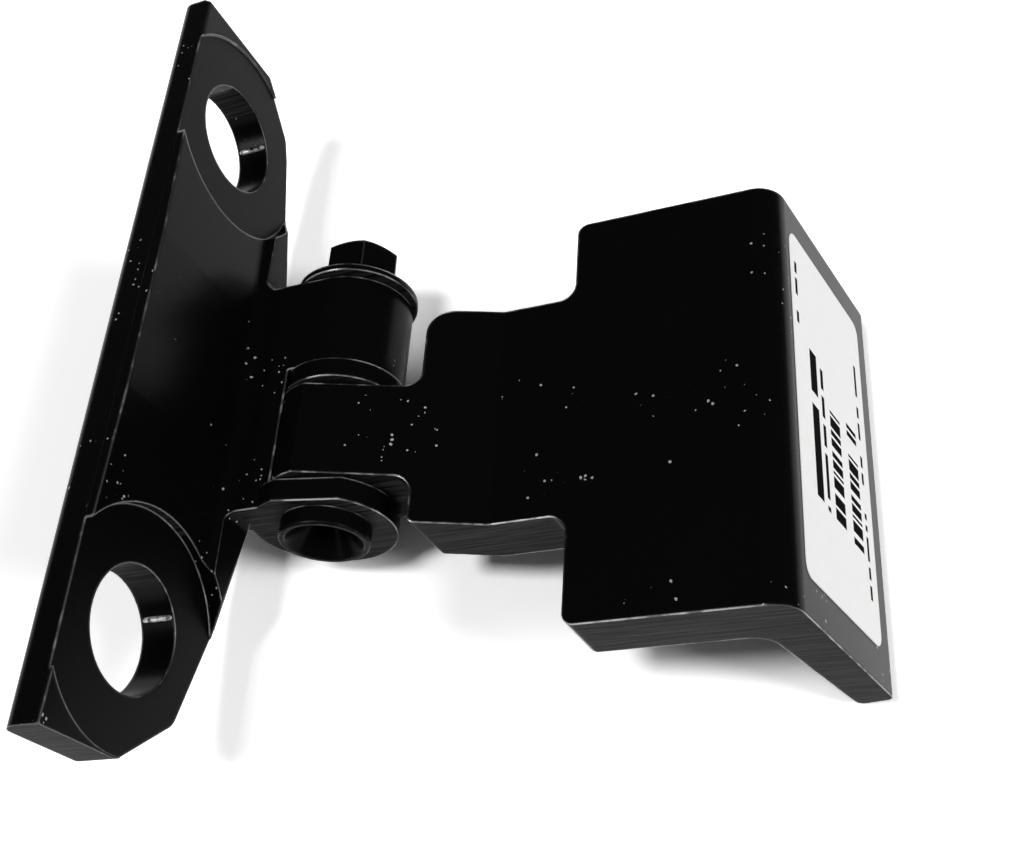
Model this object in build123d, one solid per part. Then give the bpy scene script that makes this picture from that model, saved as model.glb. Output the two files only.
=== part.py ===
"""Car door hinge: a bolted pillar leaf, a weld-on door leaf and the pin stack that joins them.

Millimetres. +Z runs along the pin towards its hex screw, +X from the pillar to the door, +Y inboard.
The origin is the middle of the two pillar bolt holes, on the plate's mounting face.
"""
from build123d import *
import os
from math import cos, hypot, radians, tan

os.makedirs("parts", exist_ok=True)

# Pin axis, seen from the pillar bolt holes
pin_x = 18.7
pin_y = 18.2
pin_r = 4.5

# Heights along the pin, from the outer face of the lower eye upwards
eye_bottom = -18.63
lower_eye_h = 3.3
bush_flange_t = 0.75
door_eye_h = 13.95
thrust_washer_t = 2.9
upper_eye_h = 14.95
head_washer_t = 1.0
end_play = 0.05

# Clearances
pin_seat_gap = 0.02
bush_seat_gap = 0.02
pin_running_gap = 0.05
slot_over = 0.25
screw_thread_gap = 0.05
screw_tip_room = 1.0
washer_gap = 0.2

# Pillar leaf
plate_t = 6.9
plate_end_t = 5.5
plate_land = 12.0
plate_low = 55.2
plate_high = 56.5
plate_near = 12.5
plate_far = 16.6
plate_back_r = 2.0
top_bevel_x = 1.2
top_bevel_z = 0.8
high_cut_y = 3.4
high_side_y = 11.4
high_side_z = 48.7
high_far_z = 34.2
low_cut_y = 1.4
low_side_y = 10.7
low_side_z = 48.1
low_far_z = 29.8
corner_r = 3.0
hole_pitch = 78.75
hole_r = 8.1
spot_r = 15.5
spot_t = 5.2
rib_top = 7.6
rib_far = 15.9
rib_bevel_x = 2.8
rib_bevel_y = 3.5
rib_taper_deg = 13.0
rib_half_len = 33.0
rib_root_r = 1.5
eye_r = 8.7
lower_eye_r = 10.2
eye_shift_x = -1.0
eye_shift_y = 1.15
eye_flat_deg = 12.6
eye_flat_dist = 7.75
neck_near = 10.7
neck_fillet = 2.5

# Door leaf
leaf_front = 0.95
leaf_t = 9.45
slope_deg = 21.0
slope_dist = 7.7
door_eye_r = 8.8
arm_end_x = 13.9
arm_drop = 2.7
arm_h = 33.55
bracket_drop = 17.75
bracket_h = 61.25
bracket_left_x = 34.7
bracket_corner_x = 63.1
flange_tip_x = 68.5
flange_tip_y = 36.4
flange_tip_skew = 1.0
flange_root_t = 5.2
flange_tip_t = 4.9
corner_out_r = 4.0
corner_in_r = 3.5
flange_tip_r = 1.2
arm_corner_r = 4.0
arm_nose_r = 0.8
arm_lap = 2.0
arm_root_r = 2.5
eye_root_r = 2.5
bracket_corner_r = 1.6

# Pin stack
lip_r = 6.3
lip_h = 2.7
lip_round = 0.3
mouth_r = 5.5
mouth_depth = 3.8
core_r = 3.0
core_depth = 9.0
screw_r = 3.0
screw_len = 14.0
hex_flats = 10.0
hex_h = 7.3
hex_chamfer = 0.9
head_washer_r = 9.0
thrust_washer_r = 8.6
bush_flange_r = 7.6
bush_r = 5.7
bush_len = 6.0

# Label on the outer face of the door leaf's flange
label_t = 0.12
label_len = 51.5
label_width = 27.0
label_start = 4.6
label_bottom_margin = 5.35
label_corner_r = 2.0

# Levels that follow from the heights
lower_eye_top = eye_bottom + lower_eye_h
door_eye_bottom = lower_eye_top + end_play + bush_flange_t
door_eye_top = door_eye_bottom + door_eye_h
thrust_bottom = door_eye_top + bush_flange_t + end_play
upper_eye_bottom = thrust_bottom + thrust_washer_t
eye_top = upper_eye_bottom + upper_eye_h
head_seat = eye_top + head_washer_t
arm_bottom = eye_bottom - arm_drop
arm_top = arm_bottom + arm_h
bracket_bottom = eye_bottom - bracket_drop
bracket_top = bracket_bottom + bracket_h


def on_pin(x, y):
    """A section point given from the pin axis."""
    return (pin_x + x, pin_y + y)


def prism(points, bottom, top):
    """A closed section of points extruded along the pin axis."""
    section = make_face(Polyline(*points, close=True))
    return Pos(0, 0, bottom) * extrude(section, top - bottom)


def rod(x, y, radius, bottom, top):
    """A round bar along the pin axis."""
    return Pos(x, y, bottom) * Cylinder(radius, top - bottom, align=(Align.CENTER, Align.CENTER, Align.MIN))


def pin_rod(radius, bottom, top):
    return rod(pin_x, pin_y, radius, bottom, top)


def edges_at(solid, axis, x=None, y=None, z=None, tol=0.05):
    """Straight edges along an axis that pass through the given coordinates."""
    found = []
    for edge in solid.edges().filter_by(axis):
        middle = edge.center()
        offsets = [
            abs(value - want)
            for value, want in ((middle.X, x), (middle.Y, y), (middle.Z, z))
            if want is not None
        ]
        if max(offsets) < tol:
            found.append(edge)
    return found


def in_front(angle, distance, bottom, top):
    """All that lies in front of a plane along the pin, turned by an angle, at a distance from the axis."""
    span = 2 * (arm_end_x + door_eye_r)
    block = Box(span, span, top - bottom, align=(Align.CENTER, Align.MAX, Align.MIN))
    return Pos(pin_x, pin_y, bottom) * Rot(0, 0, angle) * Pos(0, -distance, 0) * block


def pillar_plate():
    """Bolting plate with cut inboard corners, thinner towards both ends."""
    outline = [
        (-plate_near, -plate_low),
        (low_cut_y, -plate_low),
        (low_side_y, -low_side_z),
        (plate_far, -low_far_z),
        (plate_far, high_far_z),
        (high_side_y, high_side_z),
        (high_cut_y, plate_high),
        (-plate_near, plate_high),
    ]
    plate = extrude(make_face(Plane.YZ * Polyline(*outline, close=True)), plate_t, dir=(1, 0, 0))
    far_corners = plate.edges().filter_by(Axis.X).filter_by_position(Axis.Y, 0, plate_far)
    plate = fillet(far_corners, corner_r)
    plate = fillet(edges_at(plate, Axis.Z, x=0, y=-plate_near), plate_back_r)
    side = [
        (0, -plate_low),
        (plate_end_t, -plate_low),
        (plate_t, -plate_land),
        (plate_t, plate_land),
        (plate_end_t, plate_high - top_bevel_z),
        (plate_end_t - top_bevel_x, plate_high),
        (0, plate_high),
    ]
    return plate & extrude(make_face(Plane.XZ * Polyline(*side, close=True)), 2 * plate_far, both=True)


def sawn_off(bottom, top):
    """What is sawn off the neck beside the eyes, down to a low rib."""
    return prism([(rib_top, 0), (rib_top, 2 * plate_far), (2 * pin_x, 2 * plate_far), (2 * pin_x, 0)], bottom, top)


def far_bevel(start, end):
    """What a bevel takes off the rib's far edge, which tapers from an eye's end face outwards."""
    narrowed = rib_far - abs(end - start) * tan(radians(rib_taper_deg))
    edge = [(rib_far, start), (narrowed, end), (2 * plate_far, end), (2 * plate_far, start)]
    face = make_face(Plane.YZ.offset(rib_top) * Polyline(*edge, close=True))
    return extrude(face, rib_top, dir=(-rib_bevel_x, rib_bevel_y, 0), both=True)


def bolt_hole(z):
    """A clearance hole through the plate, with the spot face for its bolt head."""
    across = Rot(0, 90, 0)
    hole = across * Cylinder(hole_r, 4 * plate_t)
    spot = across * Cylinder(spot_r, pin_x, align=(Align.CENTER, Align.CENTER, Align.MIN))
    return Pos(0, 0, z) * hole + Pos(spot_t, 0, z) * spot


def pillar_leaf():
    """One steel section: the plate, and the neck that carries an upper and a lower eye."""
    eye_x = pin_x + eye_shift_x
    eye_y = pin_y + eye_shift_y
    neck = prism(
        [
            (plate_t / 2, neck_near),
            (eye_x, neck_near),
            (eye_x, plate_far),
            (plate_t / 2, plate_far),
        ],
        -rib_half_len,
        rib_half_len,
    )
    leaf = pillar_plate() + neck
    pick_tol = 0.01
    root = leaf.edges().filter_by_position(Axis.Y, neck_near - pick_tol, neck_near + pick_tol)
    leaf = fillet(root.filter_by_position(Axis.X, plate_end_t, plate_t + pick_tol), neck_fillet)
    leaf -= sawn_off(-plate_low, eye_bottom)
    leaf -= sawn_off(eye_top, plate_high)
    for z in (eye_bottom, eye_top):
        leaf = fillet(edges_at(leaf, Axis.Y, x=rib_top, z=z), rib_root_r)
    leaf -= far_bevel(eye_bottom, -plate_low)
    leaf -= far_bevel(eye_top, plate_high)
    for z in (-hole_pitch / 2, hole_pitch / 2):
        leaf -= bolt_hole(z)
    lower_eye = rod(eye_x, eye_y, lower_eye_r, eye_bottom, lower_eye_top)
    lower_eye -= in_front(eye_flat_deg, eye_flat_dist, eye_bottom, lower_eye_top)
    leaf += lower_eye
    leaf += rod(eye_x, eye_y, eye_r, upper_eye_bottom, eye_top)
    leaf -= pin_rod(door_eye_r + slot_over, lower_eye_top, upper_eye_bottom)
    leaf -= pin_rod(pin_r + pin_seat_gap, eye_bottom, eye_top)
    return leaf


def slope_y(x):
    """Height of the door leaf's sloping front at a distance from the pin axis."""
    return x * tan(radians(slope_deg)) - slope_dist / cos(radians(slope_deg))


def door_bracket():
    """The L-section that is welded to the door: a thick front plate and a tapering flange."""
    leaf_back = leaf_front + leaf_t
    flange_inner_x = bracket_corner_x - flange_root_t
    flange_inner_tip_x = flange_tip_x - flange_tip_t
    bracket = prism(
        [
            on_pin(bracket_left_x, leaf_front),
            on_pin(bracket_corner_x, leaf_front),
            on_pin(flange_tip_x, flange_tip_y),
            on_pin(flange_inner_tip_x, flange_tip_y + flange_tip_skew),
            on_pin(flange_inner_x, leaf_back),
            on_pin(bracket_left_x, leaf_back),
        ],
        bracket_bottom,
        bracket_top,
    )
    outer = edges_at(bracket, Axis.Z, pin_x + bracket_corner_x, pin_y + leaf_front)
    bracket = fillet(outer, corner_out_r)
    inner = edges_at(bracket, Axis.Z, pin_x + flange_inner_x, pin_y + leaf_back)
    bracket = fillet(inner, corner_in_r)
    tips = edges_at(bracket, Axis.Z, pin_x + flange_tip_x, pin_y + flange_tip_y)
    tips += edges_at(bracket, Axis.Z, pin_x + flange_inner_tip_x, pin_y + flange_tip_y + flange_tip_skew)
    bracket = fillet(tips, flange_tip_r)
    for z in (bracket_bottom, bracket_top):
        corner = edges_at(bracket, Axis.Y, x=pin_x + bracket_left_x, z=z)
        bracket = fillet(corner, bracket_corner_r)
    return bracket


def door_arm():
    """The cranked arm between the bracket and the eye, square-ended towards the pin."""
    leaf_back = leaf_front + leaf_t
    slope = tan(radians(slope_deg))
    crank_x = (leaf_front - slope_y(0)) / slope
    end_front = slope_y(arm_end_x)
    end_back = end_front + leaf_t / cos(radians(slope_deg))
    back_x = arm_end_x + (leaf_back - end_back) / slope
    arm = prism(
        [
            on_pin(arm_end_x, end_front),
            on_pin(crank_x, leaf_front),
            on_pin(bracket_left_x + arm_lap, leaf_front),
            on_pin(bracket_left_x + arm_lap, leaf_back),
            on_pin(back_x, leaf_back),
            on_pin(arm_end_x, end_back),
        ],
        arm_bottom,
        arm_top,
    )
    arm = fillet(edges_at(arm, Axis.Y, x=pin_x + arm_end_x, z=arm_top), arm_corner_r)
    arm = fillet(edges_at(arm, Axis.Y, x=pin_x + arm_end_x, z=arm_bottom), arm_nose_r)
    return arm


def door_eye():
    """The middle eye, round at the back and flat in front where it runs into the arm."""
    reach = arm_end_x + arm_lap
    end_back = slope_y(arm_end_x) + leaf_t / cos(radians(slope_deg))
    web = prism(
        [
            on_pin(0, slope_y(0)),
            on_pin(reach, slope_y(reach)),
            on_pin(reach, end_back),
            on_pin(arm_end_x, end_back),
            on_pin(0, door_eye_r),
        ],
        door_eye_bottom,
        door_eye_top,
    )
    eye = web + pin_rod(door_eye_r, door_eye_bottom, door_eye_top)
    return eye - in_front(slope_deg, slope_dist, door_eye_bottom, door_eye_top)


def door_leaf():
    """One steel section: bracket, cranked arm and the bushed middle eye."""
    leaf = door_bracket() + door_arm()
    for z in (arm_bottom, arm_top):
        root = edges_at(leaf, Axis.Y, x=pin_x + bracket_left_x, z=z)
        leaf = fillet(root, arm_root_r)
    leaf += door_eye()
    for z in (door_eye_bottom, door_eye_top):
        root = edges_at(leaf, Axis.Y, x=pin_x + arm_end_x, z=z)
        leaf = fillet(root, eye_root_r)
    leaf -= pin_rod(bush_r + bush_seat_gap, door_eye_bottom, door_eye_top)
    return leaf


def turned(profile):
    """A profile of (radius, height) points turned about the pin axis."""
    face = make_face(Plane.XZ * Polyline(*profile, close=True))
    return Pos(pin_x, pin_y, 0) * revolve(face, Axis.Z)


def hinge_pin():
    """Headed pin: its tubular foot is flared over the lower eye, its top is tapped for the screw."""
    foot = eye_bottom - lip_h
    tap_r = screw_r + screw_thread_gap
    tap_floor = head_seat - screw_len - screw_tip_room
    pin = turned(
        [
            (mouth_r, foot),
            (lip_r, foot),
            (lip_r, eye_bottom),
            (pin_r, eye_bottom),
            (pin_r, eye_top),
            (tap_r, eye_top),
            (tap_r, tap_floor),
            (0, tap_floor),
            (0, foot + core_depth),
            (core_r, foot + core_depth),
            (core_r, foot + mouth_depth),
        ]
    )
    return fillet(pin.edges().group_by(Axis.Z)[0], lip_round)


def pin_screw():
    """Hex screw in the top of the pin."""
    bar = extrude(RegularPolygon(hex_flats / 2, 6, major_radius=False), hex_h)
    corner_r = hex_flats / 2 / cos(radians(30))
    crown = Cylinder(corner_r, hex_h, align=(Align.CENTER, Align.CENTER, Align.MIN))
    crown = chamfer(crown.edges().group_by(Axis.Z)[-1], hex_chamfer / 2, hex_chamfer)
    head = Pos(pin_x, pin_y, head_seat) * (bar & crown)
    return head + pin_rod(screw_r, head_seat - screw_len, head_seat)


def ring(outer, inner, bottom, top):
    """A flat ring about the pin axis."""
    return pin_rod(outer, bottom, top) - pin_rod(inner, bottom, top)


def head_washer():
    return ring(head_washer_r, screw_r + washer_gap, eye_top, head_seat)


def thrust_washer():
    """Spacer between the upper eye and the door eye's upper bush."""
    return ring(thrust_washer_r, pin_r + pin_seat_gap, thrust_bottom, upper_eye_bottom)


def bush(flange_bottom, flange_top, barrel_bottom, barrel_top):
    """Flanged plain bush pressed into the door eye."""
    inner = pin_r + pin_running_gap
    flange = ring(bush_flange_r, inner, flange_bottom, flange_top)
    return flange + ring(bush_r, inner, barrel_bottom, barrel_top)


def lower_bush():
    return bush(door_eye_bottom - bush_flange_t, door_eye_bottom, door_eye_bottom, door_eye_bottom + bush_len)


def upper_bush():
    return bush(door_eye_top, door_eye_top + bush_flange_t, door_eye_top - bush_len, door_eye_top)


def blank_label():
    """Plain paper label lying on the flange's outer face."""
    run_x = flange_tip_x - bracket_corner_x
    run_y = flange_tip_y - leaf_front
    share = (label_start + label_width / 2) / hypot(run_x, run_y)
    face = Plane(
        origin=(
            pin_x + bracket_corner_x + run_x * share,
            pin_y + leaf_front + run_y * share,
            bracket_bottom + label_bottom_margin + label_len / 2,
        ),
        x_dir=(run_x, run_y, 0),
        z_dir=(run_y, -run_x, 0),
    )
    return face * extrude(RectangleRounded(label_width, label_len, label_corner_r), label_t)


pieces = {
    "pillar_leaf": pillar_leaf(),
    "door_leaf": door_leaf(),
    "hinge_pin": hinge_pin(),
    "pin_screw": pin_screw(),
    "head_washer": head_washer(),
    "thrust_washer": thrust_washer(),
    "lower_bush": lower_bush(),
    "upper_bush": upper_bush(),
    "blank_label": blank_label(),
}
for name, solid in pieces.items():
    export_step(solid, f"parts/{name}.step")
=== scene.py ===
import math
import bpy
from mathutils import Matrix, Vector


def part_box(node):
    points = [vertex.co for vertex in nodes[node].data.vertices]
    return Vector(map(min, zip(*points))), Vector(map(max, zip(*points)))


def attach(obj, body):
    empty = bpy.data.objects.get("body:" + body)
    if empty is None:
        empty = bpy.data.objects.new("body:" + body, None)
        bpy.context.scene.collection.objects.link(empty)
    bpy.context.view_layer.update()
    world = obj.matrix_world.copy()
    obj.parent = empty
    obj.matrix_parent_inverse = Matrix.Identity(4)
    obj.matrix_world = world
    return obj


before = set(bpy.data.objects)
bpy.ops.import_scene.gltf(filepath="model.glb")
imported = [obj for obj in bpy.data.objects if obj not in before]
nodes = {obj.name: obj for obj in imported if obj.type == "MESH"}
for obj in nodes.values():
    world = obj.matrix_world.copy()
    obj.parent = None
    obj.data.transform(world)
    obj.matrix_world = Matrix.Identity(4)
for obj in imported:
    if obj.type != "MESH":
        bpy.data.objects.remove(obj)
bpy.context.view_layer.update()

# Pillar leaf: one length of rolled steel section, plate and eyes in one, sawn to length and spot-faced
# round its bolt holes. It is dipped in thin black paint, which leaves rolled faces glossy, shows the saw's
# lines on the cut faces, wears through on the edges and dries with grains of dust in it.
MM = 0.001
half_pitch = 39.375 * MM
spot_level = 5.2 * MM
spot_tolerance = 0.02 * MM
rib_level = 8.5 * MM
edge_round = 0.6 * MM
black_paint = (0.0022, 0.0022, 0.0024, 1)
sawn_grey = (0.036, 0.036, 0.036, 1)
# Painted light: the lighter grey of the plate's side that faces the table, for the light the white table
# throws on it
painted_table_light_grey = (0.16, 0.16, 0.16, 1)
burnished = (0.15, 0.15, 0.15, 1)
bare_steel = (0.30, 0.30, 0.29, 1)
# Rubbed steel on the wall seams; along the ends' edges the same grey is also a painted glint
rubbed_steel_and_glint_grey = (0.62, 0.62, 0.61, 1)
dust_grey = (0.34, 0.34, 0.33, 1)
leaf_dust = 0.40
paint_shine = 0.045
rolled_roughness = 0.19
cut_roughness = 0.40
patch_dullness = 0.10
edge_dullness = 0.08
line_dullness = 0.25
spot_dullness = 0.6
bared_matt = 0.6
end_facing = 0.95
far_facing = 0.4
saw_stretch = (90, 2600, 90)
rings_per_metre = 2400.0
ring_share = 0.6
tool_depth = 0.12 * MM
paint_depth = 0.10 * MM
grain_relief = 3.0
grain_reach = 0.28
grain_wobble = (0.3 * MM, 0.3 * MM, 0.3 * MM)
cluster_start = 0.54


def add(tree, kind, inputs=None, **settings):
    """A node of that kind. An input that is given as a socket is linked, any other is a value."""
    made = tree.nodes.new(kind)
    for key, value in settings.items():
        setattr(made, key, value)
    for key, value in (inputs or {}).items():
        if isinstance(value, bpy.types.NodeSocket):
            tree.links.new(value, made.inputs[key])
        else:
            made.inputs[key].default_value = value
    return made


def calc(tree, operation, first, second=0.0, third=0.0):
    """The result of one sum, product or comparison."""
    return add(tree, "ShaderNodeMath", {0: first, 1: second, 2: third}, operation=operation).outputs[0]


def product(tree, share, *others):
    """Several shares multiplied together."""
    for other in others:
        share = calc(tree, "MULTIPLY", share, other)
    return share


def split(tree, vector):
    """A vector's X, Y and Z."""
    return add(tree, "ShaderNodeSeparateXYZ", {0: vector}).outputs


def off_axis(tree, first, second):
    """Distance from an axis, given the two coordinates across it."""
    flat = add(tree, "ShaderNodeCombineXYZ", {"X": first, "Y": second}).outputs[0]
    return add(tree, "ShaderNodeVectorMath", {0: flat}, operation="LENGTH").outputs["Value"]


def noise(tree, place, scale, detail):
    """Smooth noise about 0.5, with its scale in cells per metre."""
    inputs = {"Vector": place, "Scale": scale, "Detail": detail}
    return add(tree, "ShaderNodeTexNoise", inputs).outputs["Fac"]


def ramp(tree, value, low, high):
    """0 below the low value, 1 above the high one, and a straight rise between them."""
    return add(tree, "ShaderNodeMapRange", {0: value, 1: low, 2: high, 3: 0.0, 4: 1.0}).outputs[0]


def tint(tree, share, first, second):
    """The first colour, with that share of the second one over it."""
    return add(tree, "ShaderNodeMix", {0: share, 6: first, 7: second}, data_type="RGBA").outputs[2]


def bumped(tree, height, normal, strength, depth):
    """That normal, with the height laid over it as relief."""
    inputs = {"Height": height, "Normal": normal, "Strength": strength, "Distance": depth}
    return add(tree, "ShaderNodeBump", inputs).outputs[0]


def new_finish(name):
    """A new material, with its node tree and its main shader."""
    finish = bpy.data.materials.new(name)
    finish.use_nodes = True
    return finish, finish.node_tree, finish.node_tree.nodes["Principled BSDF"]


def cutter_rings(tree, position):
    """Where the spot faces lie, and the rings that the cutter left on them round each bolt hole."""
    from_hole = calc(tree, "SUBTRACT", calc(tree, "ABSOLUTE", position["Z"]), half_pitch)
    radius = off_axis(tree, position["Y"], from_hole)
    swept = add(tree, "ShaderNodeCombineXYZ", {"X": calc(tree, "MULTIPLY", radius, rings_per_metre)})
    on_spot = calc(tree, "COMPARE", position["X"], spot_level, spot_tolerance)
    return on_spot, product(tree, noise(tree, swept.outputs[0], scale=1.0, detail=3.0), on_spot)


def dust_grains(tree, place, dust_share):
    """Where a grain of dust lies: small uneven dots in clusters."""
    wobble = add(tree, "ShaderNodeTexNoise", {"Vector": place, "Scale": 2200.0, "Detail": 1.0})
    pushed = add(
        tree,
        "ShaderNodeVectorMath",
        {0: wobble.outputs["Color"], 1: grain_wobble, 2: place},
        operation="MULTIPLY_ADD",
    )
    cells = add(tree, "ShaderNodeTexVoronoi", {"Vector": pushed.outputs[0], "Scale": 1250.0}).outputs
    draw = add(tree, "ShaderNodeSeparateColor", {0: cells["Color"]}).outputs
    grain = calc(tree, "LESS_THAN", cells["Distance"], calc(tree, "MULTIPLY", draw[1], grain_reach))
    chosen = calc(tree, "LESS_THAN", draw[0], dust_share)
    clustered = calc(tree, "GREATER_THAN", noise(tree, place, scale=75.0, detail=2.0), cluster_start)
    return product(tree, grain, chosen, clustered)


def worn_edges(tree, place, position):
    """A normal rounded at the edges, and how far each point is edge, worn edge, and a bright broken line
    along the ends' edges that is part saw burr, part painted glint.
    """
    rounded = add(tree, "ShaderNodeBevel", {"Radius": edge_round}, samples=8).outputs[0]
    true_normal = add(tree, "ShaderNodeNewGeometry").outputs["True Normal"]
    turned = add(tree, "ShaderNodeVectorMath", {0: rounded, 1: true_normal}, operation="DOT_PRODUCT")
    edge = ramp(tree, calc(tree, "SUBTRACT", 1.0, turned.outputs["Value"]), low=0.06, high=0.20)
    thin = ramp(tree, noise(tree, place, scale=520.0, detail=6.0), low=0.54, high=0.66)

    # A bright line runs broken along the ends of the eyes and the bracket: part saw burr, part a painted
    # glint
    end_edge = ramp(tree, calc(tree, "ABSOLUTE", split(tree, rounded)["Z"]), low=0.15, high=0.45)
    off_plate = calc(tree, "GREATER_THAN", position["X"], rib_level)
    broken = ramp(tree, noise(tree, place, scale=260.0, detail=5.0), low=0.44, high=0.58)
    return rounded, edge, product(tree, edge, thin), product(tree, edge, end_edge, off_plate, broken)


def dipped_black(name, dust_share):
    """Thin black dip paint on steel: gloss on rolled faces, dull cut faces, worn edges, dust grains, a
    painted light on the plate's table side, and a bright line along the ends' edges that is part saw burr,
    part painted glint.
    """
    paint, tree, skin = new_finish(name)
    where = add(tree, "ShaderNodeTexCoord").outputs
    place = where["Object"]
    position = split(tree, place)
    facing = split(tree, where["Normal"])

    # Saw lines run along X on the cut ends
    sawn = calc(tree, "GREATER_THAN", calc(tree, "ABSOLUTE", facing["Z"]), end_facing)
    stretched = add(tree, "ShaderNodeMapping", {"Vector": place, "Scale": saw_stretch}).outputs[0]
    lines = noise(tree, stretched, scale=1.0, detail=5.0)
    sawn_lines = product(tree, lines, sawn)
    streaked = product(tree, ramp(tree, lines, low=0.38, high=0.62), sawn)

    # The plate's far side and the rib's bevel face the table: they are painted a lighter grey, as painted
    # light that the white table throws on them, and are duller
    far_side = calc(tree, "GREATER_THAN", facing["Y"], far_facing)
    plate_table_side = product(tree, far_side, calc(tree, "LESS_THAN", position["X"], rib_level))

    # Dust settles on all but the sawn ends
    dust = product(tree, dust_grains(tree, place, dust_share), calc(tree, "SUBTRACT", 1.0, sawn))
    on_spot, rings = cutter_rings(tree, position)
    rounded, edge, worn, burr_and_glint = worn_edges(tree, place, position)

    # Each mark lies over those before it
    colour = black_paint
    for share, mark in (
        (streaked, sawn_grey),
        # painted light from the table on the plate's far side and the rib's bevel
        (plate_table_side, painted_table_light_grey),
        (dust, dust_grey),
        (edge, burnished),
        (worn, bare_steel),
        # part saw burr, part painted glint along the ends' edges
        (burr_and_glint, rubbed_steel_and_glint_grey),
    ):
        colour = tint(tree, share, colour, mark)
    tree.links.new(colour, skin.inputs["Base Color"])
    bared = calc(tree, "MAXIMUM", worn, burr_and_glint)
    tree.links.new(calc(tree, "MULTIPLY_ADD", bared, -bared_matt, edge), skin.inputs["Metallic"])

    # Cut faces, the plate's table side, broad patches of paint, edges and saw lines are duller than a clean
    # rolled face
    patches = noise(tree, place, scale=90.0, detail=4.0)
    cut = calc(tree, "MAXIMUM", sawn, plate_table_side)
    cut = calc(tree, "MAXIMUM", cut, calc(tree, "MULTIPLY", on_spot, spot_dullness))
    dull = rolled_roughness
    for share, more in (
        (cut, cut_roughness - rolled_roughness),
        (patches, patch_dullness),
        (edge, edge_dullness),
        (sawn_lines, line_dullness),
    ):
        dull = calc(tree, "MULTIPLY_ADD", share, more, dull)
    tree.links.new(dull, skin.inputs["Roughness"])

    # Saw lines and rings stand in the steel, and the paint over them dries in a fine orange peel
    tool_marks = calc(tree, "MAXIMUM", sawn_lines, calc(tree, "MULTIPLY", rings, ring_share))
    tool_relief = bumped(tree, tool_marks, rounded, strength=0.35, depth=tool_depth)
    peel = noise(tree, place, scale=1500.0, detail=2.0)
    skin_height = calc(tree, "MULTIPLY_ADD", dust, grain_relief, peel)
    paint_relief = bumped(tree, skin_height, tool_relief, strength=0.10, depth=paint_depth)
    tree.links.new(paint_relief, skin.inputs["Normal"])
    skin.inputs["Specular IOR Level"].default_value = paint_shine
    return paint


def finish_node(node, material):
    """A CAD piece keeps its shape and takes this finish."""
    nodes[node].data.materials.clear()
    nodes[node].data.materials.append(material)


leaf_paint = dipped_black("dipped_leaf_paint", leaf_dust)
finish_node("pillar_leaf", leaf_paint)

# Wall seams: a thin raised seam runs through each bolt hole along its far wall, with the paint rubbed off
# its crest. It is a rounded, uneven run nearly as long as the wall, half sunk in it.
seam_radius = 0.40 * MM
seam_length = spot_level - 0.5 * MM
seam_height = 4.3 * MM
seam_unevenness = seam_radius / 6
hole_radius = 8.1 * MM
wall_y = math.sqrt(hole_radius ** 2 - seam_height ** 2)
rubbed_metal = 0.35
rubbed_dullness = 0.15
seam_steel, tree, skin = new_finish("rubbed_seam")
place = add(tree, "ShaderNodeTexCoord").outputs["Object"]
rubbed = ramp(tree, noise(tree, place, scale=900.0, detail=4.0), low=0.38, high=0.52)
seam_roughness = calc(tree, "MULTIPLY_ADD", rubbed, rubbed_dullness, rolled_roughness)
tree.links.new(tint(tree, rubbed, black_paint, rubbed_steel_and_glint_grey), skin.inputs["Base Color"])
tree.links.new(calc(tree, "MULTIPLY", rubbed, rubbed_metal), skin.inputs["Metallic"])
tree.links.new(seam_roughness, skin.inputs["Roughness"])
bpy.ops.object.select_all(action="DESELECT")
bpy.ops.mesh.primitive_cylinder_add(
    vertices=10,
    radius=seam_radius,
    depth=seam_length,
    rotation=(0, math.radians(90), 0),
    location=(spot_level / 2, wall_y, half_pitch + seam_height),
)
upper_seam = bpy.context.object
upper_seam.name = "upper_wall_seam"
bpy.ops.object.mode_set(mode="EDIT")
bpy.ops.mesh.select_all(action="SELECT")
bpy.ops.mesh.subdivide(number_cuts=2)
bpy.ops.transform.vertex_random(offset=seam_unevenness, seed=4)
bpy.ops.object.mode_set(mode="OBJECT")
smoothing = upper_seam.modifiers.new("rounded", "SUBSURF")
smoothing.levels = 2
smoothing.render_levels = 2
bpy.ops.object.modifier_apply(modifier="rounded")
bpy.ops.object.transform_apply(location=True, rotation=True, scale=True)
bpy.ops.object.shade_smooth()
bpy.ops.object.duplicate()
lower_seam = bpy.context.object
lower_seam.name = "lower_wall_seam"
bpy.ops.transform.translate(value=(0, 0, -2 * half_pitch))
bpy.ops.object.transform_apply(location=True, rotation=True, scale=True)
for seam in (upper_seam, lower_seam):
    seam.data.materials.append(seam_steel)
    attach(seam, "pillar_side")

# Pin stack: a steel pin whose tubular foot is flared over the lower eye, with a spacer, a washer and a hex
# screw in its tapped top. It is dipped with the leaves, so it wears the same paint with less dust.
pin_dust = 0.10
pin_paint = dipped_black("dipped_pin_paint", pin_dust)
for node in ("hinge_pin", "pin_screw", "head_washer", "thrust_washer"):
    finish_node(node, pin_paint)

# Bushes: two turned bronze bushes in the door's eye. Only the rims of their flanges reach the open, and
# the dip has painted those black.
bronze = (0.30, 0.20, 0.085, 1)
tarnish = (0.16, 0.10, 0.05, 1)
turning_stretch = (60, 60, 5000)
turned_roughness = 0.15
turning_dullness = 0.25
rim_depth = 0.6 * MM
bush_low, bush_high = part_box("lower_bush")
pin_place = (bush_low + bush_high) / 2
flange_radius = (bush_high.x - bush_low.x) / 2
bush_metal, tree, skin = new_finish("turned_bronze")
place = add(tree, "ShaderNodeTexCoord").outputs["Object"]
turning = add(tree, "ShaderNodeMapping", {"Vector": place, "Scale": turning_stretch}).outputs[0]
turning_marks = noise(tree, turning, scale=1.0, detail=3.0)
position = split(tree, place)
from_pin_x = calc(tree, "SUBTRACT", position["X"], pin_place.x)
from_pin_y = calc(tree, "SUBTRACT", position["Y"], pin_place.y)
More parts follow.
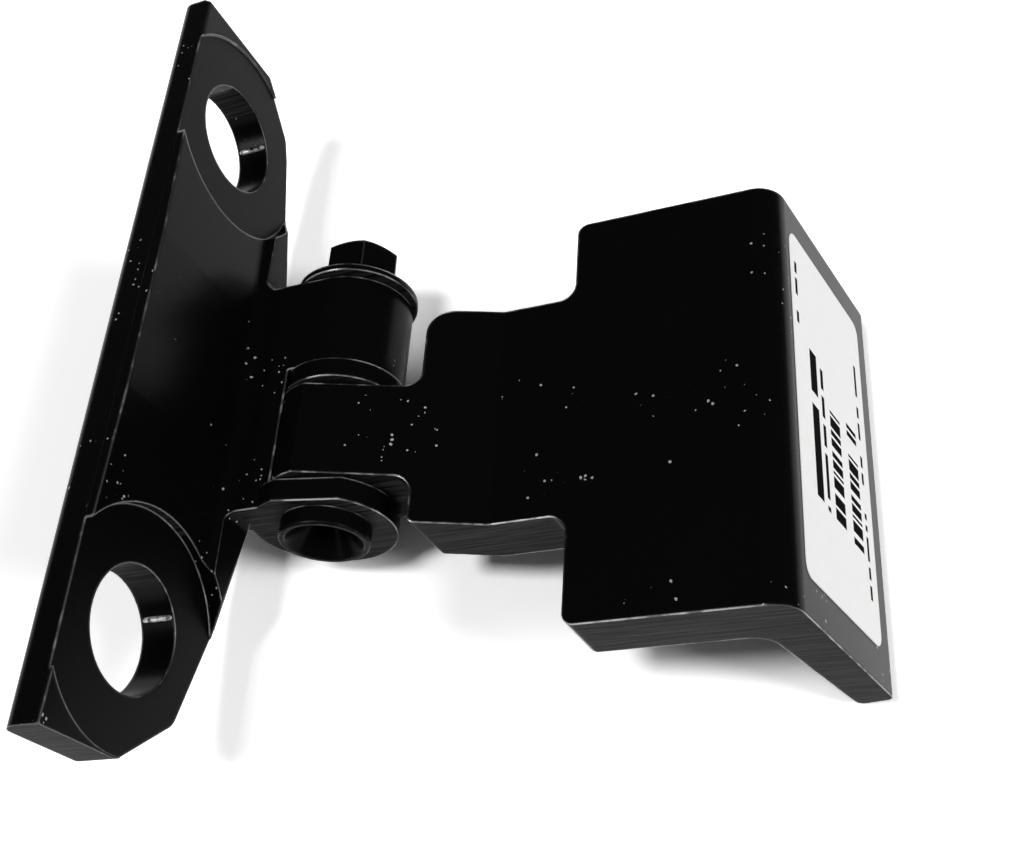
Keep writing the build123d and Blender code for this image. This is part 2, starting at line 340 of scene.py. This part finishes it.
painted = calc(tree, "GREATER_THAN", off_axis(tree, from_pin_x, from_pin_y), flange_radius - rim_depth)
bare_bronze = tint(tree, turning_marks, bronze, tarnish)
bush_roughness = calc(tree, "MULTIPLY_ADD", turning_marks, turning_dullness, turned_roughness)
tree.links.new(tint(tree, painted, bare_bronze, black_paint), skin.inputs["Base Color"])
tree.links.new(bush_roughness, skin.inputs["Roughness"])
tree.links.new(calc(tree, "SUBTRACT", 1.0, painted), skin.inputs["Metallic"])
skin.inputs["Specular IOR Level"].default_value = paint_shine
for node in ("lower_bush", "upper_bush"):
    finish_node(node, bush_metal)

# Door leaf: a heavier rolled section, an angle with a cranked arm and the middle eye, sawn to length and
# dipped with the rest.
finish_node("door_leaf", leaf_paint)

# Label: a white paper sticker on the flange's outer face, stuck on over the paint. It carries blocks of
# plain bars and short strokes in black ink.
paper = (0.97, 0.97, 0.97, 1)
aged_paper = (0.92, 0.92, 0.91, 1)
ink = (0.010, 0.010, 0.011, 1)
label_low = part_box("blank_label")[0]
label_paper, tree, skin = new_finish("printed_label")
skin.inputs["Roughness"].default_value = 0.55
skin.inputs["Specular IOR Level"].default_value = 0.0
finish_node("blank_label", label_paper)
place = add(tree, "ShaderNodeTexCoord").outputs["Object"]
position = split(tree, place)
across = calc(tree, "SUBTRACT", position["Y"], label_low.y)
along = calc(tree, "SUBTRACT", position["Z"], label_low.z)


def stretch(tree, value, low, high):
    """1 where the value lies between two sizes in millimetres, else 0."""
    above = calc(tree, "GREATER_THAN", value, low * MM)
    return product(tree, above, calc(tree, "LESS_THAN", value, high * MM))


def strokes(tree, across_span, along_span, stroke, filled, seed):
    """A block of bars of that stroke along the label, in millimetres, of which some share is inked."""
    step = calc(tree, "FLOOR", calc(tree, "DIVIDE", along, stroke * MM))
    draw = add(tree, "ShaderNodeTexWhiteNoise", {"W": calc(tree, "ADD", step, seed)}, noise_dimensions="1D")
    inked = calc(tree, "LESS_THAN", draw.outputs["Value"], filled)
    return product(tree, inked, stretch(tree, across, *across_span), stretch(tree, along, *along_span))


printed = 0.0
for across_span, along_span, stroke, filled, seed in (
    ((11.8, 15.6), (12.5, 29.5), 0.42, 0.55, 3.0),
    ((18.4, 22.2), (12.0, 30.5), 0.42, 0.55, 11.0),
    ((5.2, 7.6), (13.0, 35.0), 1.9, 0.72, 23.0),
    ((8.9, 9.9), (12.5, 34.0), 1.1, 0.62, 31.0),
    ((1.2, 2.0), (36.0, 48.0), 0.9, 0.60, 41.0),
    ((23.6, 24.4), (6.0, 43.0), 0.9, 0.62, 53.0),
):
    block = strokes(tree, across_span, along_span, stroke, filled, seed)
    printed = calc(tree, "MAXIMUM", printed, block)
fibrous_paper = tint(tree, noise(tree, place, scale=900.0, detail=3.0), paper, aged_paper)
tree.links.new(tint(tree, printed, fibrous_paper, ink), skin.inputs["Base Color"])

# Table: the hinge lies on its back on a white table, so the table stands upright in the hinge's own frame.
# It touches the lower eye's back, just clears the flange's tip, and is open to views from behind. Seen
# straight or in a reflection it is a little over white, so that it comes out as white as in the photograph.
table_lean = math.radians(22)
table_size = 4.0
table_white = (0.95, 0.95, 0.95, 1)
table_seen = (1.6, 1.6, 1.6, 1)
behind = Vector((-math.sin(table_lean), math.cos(table_lean), 0))
reach = max(vertex.co.dot(behind) for piece in nodes.values() for vertex in piece.data.vertices)


def seen_share(tree, ray):
    """1 for rays that come from the camera, straight or by a reflection or through glass, else 0."""
    by_way = calc(tree, "ADD", ray["Is Glossy Ray"], ray["Is Transmission Ray"])
    return calc(tree, "MINIMUM", calc(tree, "ADD", ray["Is Camera Ray"], by_way), 1.0)


bpy.ops.object.select_all(action="DESELECT")
bpy.ops.mesh.primitive_plane_add(
    size=table_size,
    location=behind * reach,
    rotation=(math.radians(90), 0, table_lean),
)
table = bpy.context.object
table.name = "table"
bpy.ops.object.transform_apply(location=True, rotation=True, scale=True)
table_top, tree, skin = new_finish("white_table")
tree.nodes.remove(skin)
ray = add(tree, "ShaderNodeLightPath").outputs
table_colour = tint(tree, seen_share(tree, ray), table_white, table_seen)
matt_top = add(tree, "ShaderNodeBsdfDiffuse", {"Color": table_colour}).outputs[0]
clear = add(tree, "ShaderNodeBsdfTransparent").outputs[0]
underside = add(tree, "ShaderNodeNewGeometry").outputs["Backfacing"]
from_behind = product(tree, underside, ray["Is Camera Ray"])
one_sided = add(tree, "ShaderNodeMixShader", {0: from_behind, 1: matt_top, 2: clear})
tree.links.new(one_sided.outputs[0], tree.nodes["Material Output"].inputs["Surface"])
table.data.materials.append(table_top)

# Light: soft lamps and a pale room, and a dark tent over the table that only reflections see, so that the
# glossy black faces that look up from the table stay black. The key lamp hangs over the table, the side
# lamp lights the label, and the rim lamp only shows as a glint on the edges.
room_level = 0.12
room_white = (1, 1, 1, 1)
tent_grey = (0.05, 0.05, 0.05, 1)
tent_radius = 1.2
tent_gap = 10 * MM
bpy.ops.object.select_all(action="DESELECT")
bpy.ops.mesh.primitive_uv_sphere_add(
    segments=48,
    ring_count=24,
    radius=tent_radius,
    location=behind * reach,
)
tent = bpy.context.object
tent.name = "dark_tent"
bpy.ops.object.mode_set(mode="EDIT")
bpy.ops.mesh.select_all(action="SELECT")
bpy.ops.mesh.bisect(plane_co=behind * (reach - tent_gap), plane_no=behind, clear_outer=True)
bpy.ops.object.mode_set(mode="OBJECT")
bpy.ops.object.transform_apply(location=True, rotation=True, scale=True)
tent_cloth, tree, skin = new_finish("dark_tent_cloth")
skin.inputs["Base Color"].default_value = tent_grey
skin.inputs["Roughness"].default_value = 1.0
skin.inputs["Specular IOR Level"].default_value = 0.0
tent.data.materials.append(tent_cloth)
tent.visible_camera = False
tent.visible_diffuse = False
tent.visible_transmission = False
tent.visible_shadow = False
for lamp_name, towards, level, width_deg, lights_matt in (
    ("key_lamp", (-0.08, -0.97, -0.20), 0.53, 14, True),
    ("side_lamp", (0.90, -0.40, -0.15), 0.57, 26, True),
    ("rim_lamp", (-0.38, -0.80, -0.46), 0.60, 12, False),
):
    bpy.ops.object.light_add(type="SUN")
    lamp = bpy.context.object
    lamp.name = lamp_name
    lamp.rotation_euler = Vector(towards).to_track_quat("Z", "Y").to_euler()
    lamp.data.energy = level * math.pi
    lamp.data.angle = math.radians(width_deg)
    lamp.visible_diffuse = lights_matt
world = bpy.data.worlds.new("pale_room")
bpy.context.scene.world = world
world.use_nodes = True
tree = world.node_tree
background = tree.nodes["Background"].inputs
background["Color"].default_value = room_white
seen = seen_share(tree, add(tree, "ShaderNodeLightPath").outputs)
tree.links.new(calc(tree, "MULTIPLY_ADD", seen, 1.0 - room_level, room_level), background["Strength"])

# Camera: close over the table, looking up along the pin from its flared foot. Its place and turn are those
# that bring the CAD edges over the photograph's.
camera_place = Vector((111.55, -123.29, -97.63)) * MM
camera_turn_deg = (119.754, -3.404, 23.049)
camera_data = bpy.data.cameras.new("camera")
camera_data.lens = 47.55
camera_data.sensor_width = 36.0
camera = bpy.data.objects.new("camera", camera_data)
bpy.context.scene.collection.objects.link(camera)
camera.location = camera_place
camera.rotation_euler = [math.radians(angle) for angle in camera_turn_deg]
bpy.context.scene.camera = camera
bpy.context.scene.view_settings.view_transform = "Standard"
